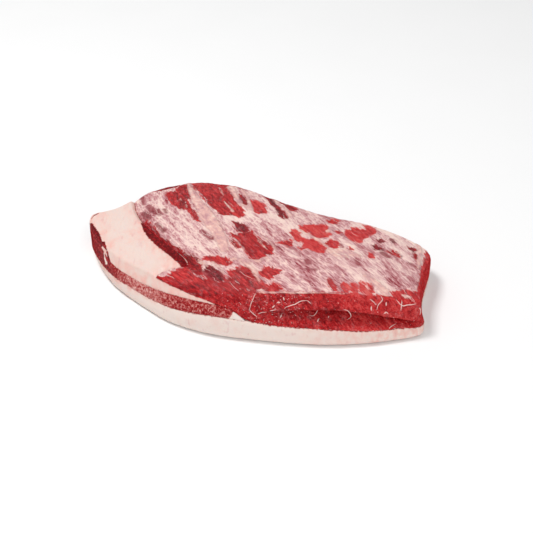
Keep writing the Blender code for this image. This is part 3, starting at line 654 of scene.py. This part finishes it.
def muscle_material(colours):
    """Bared lean, membrane and white strands, by how far a point lies inside each."""
    s = Shading("muscle_lean")
    grain = s.grain(7.0, 22)
    fine = s.noise(s.stretched(grain, FIBRE), detail=4, rough=0.65)
    bundle = s.noise(s.stretched(grain, BUNDLE), detail=3, rough=0.6)
    patch = s.noise(s.stretched(grain, PATCH), detail=3, rough=0.6)
    blotch = s.noise(s.place(9), detail=3, rough=0.6)
    web = s.web(s.stretched(grain, LENS), 0.17)
    small_web = s.web(s.stretched(grain, SMALL_LENS), 0.22)

    # Tone is each patch's own colour, with painted shade in the fold under the front lip.
    tone = s.value("tone")
    # Lean darker in the bump's grooves between bundles, lighter on top: own colour and painted shade.
    lit = s.add(s.times(tone, 0.34), s.swing(fine, 1.6), s.swing(bundle, 1.4), 0.37)
    lean = s.stops(lit, colours.lean_dark, colours.lean_red, colours.lean_bright, colours.lean_light)
    mauve = s.stops(lit, colours.lean_dark, colours.lean_mauve, colours.lean_mauve, colours.film_mauve)
    lean = s.mix(s.ramp(tone, -0.15, -0.8, 0.0, 0.6), lean, mauve)
    lean = s.mix(s.times(small_web, s.ramp(blotch, 0.52, 0.66, 0.0, 0.25)), lean, colours.film_grey)

    cover = s.add(s.times(s.value("film_tone"), 0.32), s.swing(patch, 1.7), s.swing(bundle, 1.1),
                  s.swing(fine, 0.7), s.times(web, 0.28), s.times(small_web, 0.14), 0.41)
    film = s.stops(cover, colours.lean_mauve, colours.film_mauve, colours.film_grey, colours.film_white,
                   colours.strand_white)
    dark = s.ramp(s.add(s.value("dark"), s.swing(bundle, 10.0), s.swing(fine, 7.0)), -2.0, 1.5, 0.0, 0.85)
    film = s.mix(dark, film, s.stops(lit, colours.lean_dark, colours.lean_mauve, colours.film_mauve))

    edge = s.add(s.swing(bundle, 15.0), s.swing(blotch, 9.0), s.swing(fine, 8.0))
    bared = s.add(s.value("lean"), edge, 0.7)
    colour = s.mix(s.ramp(bared, -1.2, 1.3), film, lean)
    torn = s.times(s.ramp(bared, -3.0, -1.0), s.ramp(bared, 0.5, -0.5))
    colour = s.mix(s.times(torn, s.ramp(patch, 0.44, 0.6, 0.05, 0.7)), colour, colours.film_white)
    white = s.ramp(s.add(s.value("strand"), s.times(edge, 0.45)), -1.2, 1.8)
    cream = s.add(s.swing(blotch, 1.7), s.swing(bundle, 1.4), 0.57)
    pale = s.stops(cream, colours.film_mauve, colours.film_grey, colours.fat_blush, colours.strand_white)
    colour = s.mix(s.times(white, 0.9), colour, pale)

    speck = s.ramp(s.noise(s.place(2.2), detail=2), 0.63, 0.68)
    flecked = s.times(s.value("face"), s.times(s.value("flecks"), 0.35))
    colour = s.mix(s.times(speck, flecked), colour, colours.film_white)
    near_fat = s.add(s.value("fat_near"), s.swing(s.noise(s.place(3.0), detail=2), 5.0))
    colour = s.mix(s.ramp(near_fat, 0.3, -0.4), colour, colours.cap_fat)

    height = s.add(s.times(fine, 0.6), bundle, s.times(web, 0.12), s.times(white, 0.5))
    rough = s.ramp(fine, 0.3, 0.7, 0.32, 0.5)
    duller = s.ramp(s.value("face"), 0.0, 1.0, 1.0, 0.4)
    s.put(s.shader.inputs["Coat Weight"], s.times(s.gloss(0.6), duller))
    return s.finish(colour, rough, s.bump(height, 0.0016, 0.9), **WET)


def fat_material(colours, name, base, blush_amount):
    """Smooth fat with a pink tinge, fine creases and a wet sheen, and the lean that runs into it."""
    s = Shading(name)
    cloud = s.noise(s.place(24), detail=4)
    crease = s.noise(s.place(9, (0.8, 2.2, 1.2), (0, 0, 0.5)), detail=4, rough=0.6)
    fine = s.noise(s.place(1.5), detail=3)
    clump = s.noise(s.place(3.4), detail=3, rough=0.6)
    pink = s.add(s.ramp(cloud, 0.5, 0.72, 0.0, blush_amount),
                 s.times(s.value("blush"), s.ramp(crease, 0.36, 0.64, 0.15, 1.0)))
    colour = s.mix(pink, base, colours.fat_blush)
    colour = s.mix(s.ramp(crease, 0.58, 0.74, 0.0, 0.4), colour, colours.film_grey)
    inside = s.add(s.value("lean"), s.swing(clump, 4.5))
    lit = s.add(s.times(s.value("marbling"), 0.34), s.swing(clump, 1.5), s.swing(fine, 1.1), 0.19)
    lean = s.stops(lit, colours.lean_dark, colours.lean_red, colours.seam_pink, colours.film_white)
    marbled = s.ramp(s.add(clump, s.swing(s.value("marbling"), 0.3)), 0.5, 0.62)
    fleck = s.times(s.web(s.place(3.0), 0.12), marbled)
    lean = s.mix(s.times(fleck, 0.4), lean, colours.film_white)
    colour = s.mix(s.ramp(inside, -1.4, -0.3, 0.0, 0.5), colour, colours.fat_blush)
    colour = s.mix(s.ramp(inside, -0.5, 0.5), colour, lean)
    height = s.add(crease, s.times(fine, 0.3))
    s.put(s.shader.inputs["Coat Weight"], s.gloss(0.3))
    return s.finish(colour, s.ramp(cloud, 0.3, 0.7, 0.36, 0.5), s.bump(height, 0.0018, 0.7),
                    Subsurface_Weight=0.2, Subsurface_Radius=(0.004, 0.0024, 0.0018), Subsurface_Scale=1.0,
                    Specular_IOR_Level=0.0, Coat_Roughness=0.2)


def sinew_material(colours):
    """Wet whitish strings and flecks."""
    s = Shading("sinew")
    patchy = s.noise(s.place(4), detail=3)
    colour = s.stops(patchy, colours.film_grey, colours.film_white, colours.strand_white)
    return s.finish(colour, s.ramp(patchy, 0.3, 0.7, 0.28, 0.4), s.bump(patchy, 0.0003, 0.5),
                    Subsurface_Weight=0.2, Subsurface_Radius=(0.003, 0.002, 0.0015), Subsurface_Scale=1.0)


class Growing(Nodes):
    """A geometry tree with named inputs, which ends in realized instances and a material."""

    def __init__(self, name):
        super().__init__(bpy.data.node_groups.new(name, "GeometryNodeTree"))
        self.sockets = {}
        self.tree.interface.new_socket(name="Geometry", in_out="INPUT", socket_type="NodeSocketGeometry")
        self.tree.interface.new_socket(name="Geometry", in_out="OUTPUT", socket_type="NodeSocketGeometry")
        self.start = self.node("NodeGroupInput")
        self.end = self.node("NodeGroupOutput")

    def given(self, name, kind, value):
        """An input of the tree; kind is Float, Int or Material."""
        socket = self.tree.interface.new_socket(name=name, in_out="INPUT", socket_type="NodeSocket" + kind)
        self.sockets[socket.identifier] = value
        return self.start.outputs[name]

    def named(self, name, kind="FLOAT"):
        return self.node("GeometryNodeInputNamedAttribute", {"Name": name}, data_type=kind).outputs[0]

    def soft_noise(self, place, scale, seed):
        inputs = {"Vector": place, "W": seed, "Scale": scale, "Detail": 2.0, "Roughness": 0.5}
        return self.node("ShaderNodeTexNoise", inputs, noise_dimensions="4D").outputs[0]

    def close(self, geometry, material):
        real = self.node("GeometryNodeRealizeInstances", {0: geometry}).outputs[0]
        kept = self.given("Material", "Material", material)
        done = self.node("GeometryNodeSetMaterial", {"Geometry": real, "Material": kept}).outputs[0]
        self.tree.links.new(done, self.end.inputs[0])

    def grow(self, mesh, name):
        """The plain mesh that the tree makes of a mesh."""
        carrier = bpy.data.objects.new(name + "_carrier", mesh)
        bpy.context.scene.collection.objects.link(carrier)
        modifier = carrier.modifiers.new(name, "NODES")
        modifier.node_group = self.tree
        for identifier, value in self.sockets.items():
            modifier[identifier] = value
        made = evaluated_mesh(carrier, name)
        bpy.data.objects.remove(carrier)
        return made


def add_relief(mesh, name, relief, material, fibre, lumps):
    """Moves a skin out by its kept lift, by fibre bundles along the grain and by soft lumps."""
    g = Growing(name + "_relief")
    fibre_height = g.given("Fibre height", "Float", relief.fibre_height * fibre)
    lump_height = g.given("Lump height", "Float", relief.lump_height * lumps)
    lump_scale = g.given("Lumps to a metre", "Float", 1 / relief.lump_size)
    seed = g.given("Seed", "Float", float(relief.seed))
    ridges = (1 / RIDGE_LENGTH, 1 / RIDGE_WIDTH, 1 / RIDGE_WIDTH)
    bundles = g.soft_noise(g.vector("MULTIPLY", g.named("grain", "FLOAT_VECTOR"), ridges), 1.0, seed)
    soft = g.soft_noise(g.node("GeometryNodeInputPosition").outputs[0], lump_scale, seed)
    height = g.add(
        g.named("lift"),
        g.times(g.times(g.swing(bundles, 1.0), fibre_height), g.named("fibrous")),
        g.times(g.times(g.swing(soft, 1.0), lump_height), g.named("free")))
    normal = g.node("GeometryNodeInputNormal").outputs[0]
    offset = g.node("ShaderNodeVectorMath", {0: normal, "Scale": height}, operation="SCALE").outputs[0]
    inputs = {"Geometry": g.start.outputs[0], "Offset": offset}
    g.close(g.node("GeometryNodeSetPosition", inputs).outputs[0], material)
    made = g.grow(mesh, name)
    points = points_of(made)
    points[:, 2] = np.maximum(points[:, 2], 0)
    made.vertices.foreach_set("co", points.astype(np.float32).ravel())
    made.update()
    return made


def muscle_values(mesh, fat_trees):
    """Where the lean is bared, its tone and painted shade, where strands lie and which way the fibres run."""
    points = points_of(mesh)
    x, y, z = (points / MM).T
    plan = np.column_stack([x, y])
    rim = np.interp(x, *np.array(FRONT_RIM, float).T)
    under = depth_under_top(points, tree_of(mesh))
    backwards, facing = normals_of(mesh)[:, 1:].T
    fold_floor = smooth_step(FOLD_HEIGHT - z, 0, 4) * (y < rim + FOLD_REACH) * (x > FOLD_START)
    # 1 on the walls, under an overhang, before the rim and deep in the fold, where no membrane lies
    face = np.maximum.reduce([
        smooth_step(-facing, -0.62, -0.3), smooth_step(under, 2, 5), smooth_step(rim - y, -1.5, 1.5),
        fold_floor])

    lean, tone, weight = np.full(x.shape, FAR_OUTSIDE), np.zeros(x.shape), np.full(x.shape, 1e-6)
    for name, patch_tone, outline in BARED_LEAN:
        inside = outline_distance(x, y, outline)
        lean = np.maximum(lean, inside)
        near = np.exp(np.clip(inside, -30, 6) / TONE_REACH)
        tone += patch_tone * near
        weight += near
    # The tone drops behind the front rim and under an overhang: painted shade in the fold under the lip.
    tone = tone / weight - 0.6 * smooth_step(y - rim, 0, 7) * smooth_step(under, 4, 9)
    lean = np.maximum(lean, np.clip((backwards - BACK_RIM) * 40, FAR_OUTSIDE, 8))
    strand = all_strands(plan, WHITE_STRANDS)
    film, weight = np.zeros(x.shape), np.full(x.shape, 1e-3)
    for film_tone, at_x, at_y, reach in FILM_TONES:
        near = np.exp(-((x - at_x) ** 2 + (y - at_y) ** 2) / reach**2)
        film += film_tone * near
        weight += near
    film /= weight

    lean = np.where(face > 0.5, np.maximum(lean, 12 * face), lean)
    strand = np.where(face > 0.5, np.minimum(strand, -6 * face), strand)
    flecks = smooth_step(x, -120, -60) * (0.35 + 0.65 * smooth_step(-abs(x - 15), -60, -20))
    kept = {"lean": lean, "tone": tone, "strand": strand, "dark": all_strands(plan, DARK_STREAKS),
            "film_tone": film, "face": face, "flecks": flecks,
            "fat_near": distance_to(points, fat_trees) + 6 * smooth_step(y, -60, 0)}
    for name, values in kept.items():
        keep_value(mesh, name, values)
    keep_grain(mesh, *along_fibres(x, y), z)
    return face, lean, strand


class BRISKET_OT_main_muscle(bpy.types.Operator):
    """Make the main muscle with its torn membrane"""

    bl_idname = "brisket.main_muscle"
    bl_label = "Main muscle"

    def execute(self, context):
        relief = context.scene.brisket_relief
        mesh = fine_mesh("main_muscle", 1)
        # everything but the underside is divided once more, and the open top twice
        refine(mesh, normals_of(mesh)[:, 2] > -0.5)
        under = depth_under_top(points_of(mesh), tree_of(mesh))
        refine(mesh, (normals_of(mesh)[:, 2] > 0.45) & (under < 1.0))
        face, lean, strand = muscle_values(mesh, [node_tree_of("fat_cap"), node_tree_of("hard_fat")])
        open_lean, raised = smooth_step(lean, -1.5, 1.5), smooth_step(strand, -1.2, 1.5)
        lift = relief.strand_height * raised - relief.window_depth * open_lean
        keep_value(mesh, "lift", relief.swell + lift * (1 - face))
        keep_value(mesh, "fibrous", 0.45 + 0.55 * open_lean)
        keep_value(mesh, "free", 0.6 + 0.6 * face)
        material = muscle_material(context.scene.brisket_colours)
        mesh = add_relief(mesh, "main_muscle_meat", relief, material, 1.0, 1.0)
        finish_piece(mesh, "main_muscle_meat", "main_muscle", material)
        return {"FINISHED"}


def blush_of(node, x, lean):
    """Where fat is tinged pink: towards both ends of the cap and beside lean."""
    if node == "fat_cap":
        return (smooth_step(x, 20, 200) * 0.85 + smooth_step(-x, 130, 190) * 0.4
                + smooth_step(lean, -8, 0) * smooth_step(-x, 100, 150) * 0.8)
    if node == "hard_fat":
        return smooth_step(lean, -24, -0.5) * 0.75
    return 0 * x


def fat_piece(context, node):
    """Makes a layer of fat or the seam: its kept numbers, its relief and its material."""
    name, slot, colour, pink = FAT_LAYERS[node]
    relief, colours = context.scene.brisket_relief, context.scene.brisket_colours
    mesh = fine_mesh(node, 2)
    if node == "hard_fat":
        refine(mesh, normals_of(mesh)[:, 2] > -0.2)
    points = points_of(mesh)
    x, y, z = (points / MM).T
    if node == "lean_seam":
        lean = 1.6 * (distance_to(points, [node_tree_of("fat_cap"), node_tree_of("hard_fat")]) - FAT_EDGE)
        lean = np.minimum(lean, SEAM_END - x + SEAM_END_SLANT * (z - SEAM_END_HEIGHT))
    else:
        lean = LEAN_EDGE - distance_to(points, [node_tree_of("lean_seam"), node_tree_of("main_muscle")])
    if node == "hard_fat":
        lean = np.maximum(lean, strand_distance(points[:, :2] / MM, GROOVE_EDGE))
    lean = np.maximum(lean, all_strands(points / MM, TIP_LEAN))
    lean = np.minimum(lean, -all_strands(points / MM, TIP_FAT))
    marbled = smooth_step(x, -205, -165) * (1 - 0.45 * smooth_step(x, -140, -100))
    grounded = smooth_step(z, 0.3, 4)
    kept = {"lean": lean, "blush": blush_of(node, x, lean),
            "marbling": marbled if node == "lean_seam" else -0.3 + 0 * x,
            "lift": relief.swell * grounded, "fibrous": 0 * z, "free": grounded}
    for value, numbers in kept.items():
        keep_value(mesh, value, numbers)
    keep_grain(mesh, y, x, z)
    material = fat_material(colours, slot, getattr(colours, colour), pink)
    mesh = add_relief(mesh, name, relief, material, 0.0, 0.8)
    finish_piece(mesh, name, node, material)


class BRISKET_OT_fat_layers(bpy.types.Operator):
    """Make the fat cap, the seam of lean over it and the lobe of hard fat"""

    bl_idname = "brisket.fat_layers"
    bl_label = "Fat cap, seam and hard fat"

    def execute(self, context):
        for node in FAT_LAYERS:
            fat_piece(context, node)
        return {"FINISHED"}


def smooth_path(path, steps):
    """More points on a smooth curve through a path's points."""
    given = np.array(path, float)
    before, after = 2 * given[0] - given[1], 2 * given[-1] - given[-2]
    p = np.vstack([before, given, after])
    found = []
    for a, b, c, d in zip(p, p[1:], p[2:], p[3:]):
        for t in np.arange(steps) / steps:
            found.append(0.5 * (2 * b + (c - a) * t + (2 * a - 5 * b + 4 * c - d) * t**2
                                + (3 * b - a - 3 * c + d) * t**3))
    return np.array(found + [given[-1]])


def on_surface(points, tree, lift):
    """Points brought onto a surface and lifted a little from it."""
    found = []
    for point in points:
        place, normal = tree.find_nearest(Vector(point))[:2]
        found.append(np.array(place + normal * lift))
    return np.array(found)


def random_threads(count, seed, tree):
    """Short wavy strings that lie on the top along the fibres."""
    rng = np.random.default_rng(seed)
    paths = []
    while len(paths) < count:
        x, y = rng.uniform(*THREADS_X), rng.uniform(*THREADS_Y)
        hit, normal = tree.ray_cast(Vector((x * MM, y * MM, ABOVE)), Vector((0, 0, -1)))[:2]
        place = np.array([x]), np.array([y])
        bared = max(outline_distance(*place, outline)[0] for name, tone, outline in BARED_LEAN)
        if hit is None or normal.z < 0.6 or (bared > 1 and rng.random() < 0.6):
            continue
        length = rng.uniform(5, 18)
        wave, phase, turn = rng.uniform(0.3, 1.4), rng.uniform(0, 6), rng.uniform(-0.25, 0.25)
        path = []
        for t in np.linspace(-0.5, 0.5, 9):
            dy = -t * length
            slope = FIBRE_SLANT - 2 * FIBRE_BEND * y + turn
            dx = -slope * dy + wave * math.sin(phase + t * 7)
            path.append(((x + dx) * MM, (y + dy) * MM, hit.z))
        paths.append((on_surface(path, tree, 0.00005), rng.uniform(0.6, 1.3)))
    return paths


def muscle_skin():
    """Mesh of the finished main muscle, which sinew and flecks lie on."""
    muscle = bpy.data.objects.get("main_muscle_meat")
    if muscle is None:
        raise RuntimeError("The main muscle has to be made first")
    return muscle.data


class BRISKET_OT_sinew(bpy.types.Operator):
    """Lay strings of sinew on the main muscle and hang some over its fold"""

    bl_idname = "brisket.sinew"
    bl_label = "Sinew"

    def execute(self, context):
        relief = context.scene.brisket_relief
        tree = tree_of(muscle_skin())
        mm_of_radius = MM / relief.thread_radius
        paths = []
        for path, radius in SINEW:
            laid = on_surface(smooth_path(path, 5) * MM, tree, radius * 0.2 * MM)
            paths.append((laid, radius * mm_of_radius))
        for path, radius in LOOSE_SINEW:
            paths.append((smooth_path(path, 6) * MM, radius * mm_of_radius))
        paths += random_threads(relief.threads, relief.seed, tree)
        corners, edges, sizes = [], [], []
        for path, size in paths:
            first = len(corners)
            corners += [tuple(point) for point in path]
            edges += [(first + i, first + i + 1) for i in range(len(path) - 1)]
            sizes += list(size * np.sqrt(np.sin(np.linspace(0.12, math.pi - 0.12, len(path)))))
        lines = bpy.data.meshes.new("sinew_lines")
        lines.from_pydata(corners, edges, [])
        keep_value(lines, "size", np.array(sizes))
        material = sinew_material(context.scene.brisket_colours)
        g = Growing("sinew_tubes")
        radius = g.given("Radius", "Float", relief.thread_radius)
        curve = g.node("GeometryNodeMeshToCurve", {0: g.start.outputs[0]}).outputs[0]
        ring = g.node("GeometryNodeCurvePrimitiveCircle", {"Resolution": 7, "Radius": radius}).outputs[0]
        inputs = {"Curve": curve, "Profile Curve": ring, "Scale": g.named("size"), "Fill Caps": True}
        g.close(g.node("GeometryNodeCurveToMesh", inputs).outputs[0], material)
        mesh = g.grow(lines, "sinew_threads")
        finish_piece(mesh, "sinew_threads", "main_muscle", material)
        return {"FINISHED"}


class BRISKET_OT_flecks(bpy.types.Operator):
    """Scatter flecks of fat over the front face of the main muscle"""

    bl_idname = "brisket.flecks"
    bl_label = "Flecks of fat"

    def execute(self, context):
        relief = context.scene.brisket_relief
        carrier = muscle_skin().copy()
        material = sinew_material(context.scene.brisket_colours)
        g = Growing("fat_flecks")
        size = g.given("Fleck size", "Float", relief.fleck_size)
        density = g.given("Density", "Float", relief.fleck_density)
        seed = g.given("Seed", "Int", relief.seed)
        shown = g.times(g.times(g.named("flecks"), g.named("flecks")), g.named("face"))
        position = g.node("GeometryNodeInputPosition").outputs[0]
        front = g.node("ShaderNodeSeparateXYZ", {0: position}).outputs["Y"]
        shown = g.times(shown, g.math("LESS_THAN", front, FLECKS_BEFORE))
        inputs = {"Mesh": g.start.outputs[0], "Density": g.times(shown, density), "Seed": seed}
        spots = g.node("GeometryNodeDistributePointsOnFaces", inputs)
        inputs = {"Min": (0.25, 0.18, 0.12), "Max": (1.0, 0.34, 0.2), "Seed": seed}
        sizes = g.node("FunctionNodeRandomValue", inputs, data_type="FLOAT_VECTOR").outputs[0]
        blob = g.node("GeometryNodeMeshIcoSphere", {"Radius": size, "Subdivisions": 2}).outputs[0]
        inputs = {"Points": spots.outputs["Points"], "Instance": blob, "Rotation": spots.outputs["Rotation"],
                  "Scale": sizes}
        flecks = g.node("GeometryNodeInstanceOnPoints", inputs).outputs[0]
        angle = g.node("FunctionNodeRandomValue", {2: -0.9, 3: 0.9, "Seed": seed}).outputs[1]
        turn = g.node("FunctionNodeAxisAngleToRotation", {"Angle": angle}).outputs[0]
        flecks = g.node("GeometryNodeRotateInstances", {"Instances": flecks, "Rotation": turn}).outputs[0]
        g.close(flecks, material)
        mesh = g.grow(carrier, "fat_flecks")
        finish_piece(mesh, "fat_flecks", "main_muscle", material)
        return {"FINISHED"}


def area_light(name, place, size, power):
    """A soft square light that looks at the middle of the floor."""
    light = bpy.data.lights.new(name, "AREA")
    light.size = size
    light.energy = power
    lamp = bpy.data.objects.new(name, light)
    lamp.location = place
    lamp.rotation_euler = (-Vector(place)).to_track_quat("-Z", "Y").to_euler()
    bpy.context.scene.collection.objects.link(lamp)


class BRISKET_OT_stage(bpy.types.Operator):
    """Make the floor, the lights and the camera"""

    bl_idname = "brisket.stage"
    bl_label = "Stage"

    def execute(self, context):
        scene = context.scene
        stage = scene.brisket_stage
        bpy.ops.mesh.primitive_plane_add(size=FLOOR_SIZE, location=(0, 0, -FLOOR_DROP))
        floor = context.object
        floor.name = "floor"
        s = Shading("floor")
        cloud = s.noise(s.place(110), detail=2)
        floor.data.materials.append(s.finish(stage.floor_colour, s.ramp(cloud, 0.3, 0.7, 0.7, 0.8),
                                             s.bump(cloud, 0.0002, 0.1)))

        area_light("key_light", *KEY_LIGHT, stage.key_power)
        area_light("fill_light", *FILL_LIGHT, stage.fill_power)
        world = bpy.data.worlds.new("studio")
        world.use_nodes = True
        background = world.node_tree.nodes["Background"]
        background.inputs["Color"].default_value = (1, 1, 1, 1)
        background.inputs["Strength"].default_value = stage.sky
        scene.world = world
        scene.view_settings.view_transform = "Standard"

        lens = bpy.data.cameras.new("camera")
        lens.lens = stage.lens
        camera = bpy.data.objects.new("camera", lens)
        scene.collection.objects.link(camera)
        ahead = Vector((0, math.cos(stage.elevation), -math.sin(stage.elevation)))
        camera.location = Vector(stage.target) - ahead * stage.distance
        camera.rotation_euler = ahead.to_track_quat("-Z", "Y").to_euler()
        scene.camera = camera
        return {"FINISHED"}


OPERATORS = (BRISKET_OT_fat_layers, BRISKET_OT_main_muscle, BRISKET_OT_sinew, BRISKET_OT_flecks,
             BRISKET_OT_stage)
GROUPS = (("brisket_colours", BrisketColours), ("brisket_relief", BrisketRelief),
          ("brisket_stage", BrisketStage))


class BRISKET_PT_panel(bpy.types.Panel):
    """Lists the pieces of the brisket and its stage"""

    bl_label = "Brisket"
    bl_idname = "BRISKET_PT_panel"
    bl_space_type = "VIEW_3D"
    bl_region_type = "UI"
    bl_category = "Brisket"

    def draw(self, context):
        for operator in OPERATORS:
            self.layout.operator(operator.bl_idname)
        for name, group in GROUPS:
            box = self.layout.box()
            for key in group.__annotations__:
                box.prop(getattr(context.scene, name), key)


def register():
    for name, group in GROUPS:
        bpy.utils.register_class(group)
        setattr(bpy.types.Scene, name, bpy.props.PointerProperty(type=group))
    for operator in (*OPERATORS, BRISKET_PT_panel):
        bpy.utils.register_class(operator)


def unregister():
    for operator in (*OPERATORS, BRISKET_PT_panel):
        bpy.utils.unregister_class(operator)
    for name, group in GROUPS:
        delattr(bpy.types.Scene, name)
        bpy.utils.unregister_class(group)


def main():
    register()
    bpy.ops.brisket.fat_layers()
    bpy.ops.brisket.main_muscle()
    bpy.ops.brisket.sinew()
    bpy.ops.brisket.flecks()
    bpy.ops.brisket.stage()


if __name__ == "__main__":
    main()
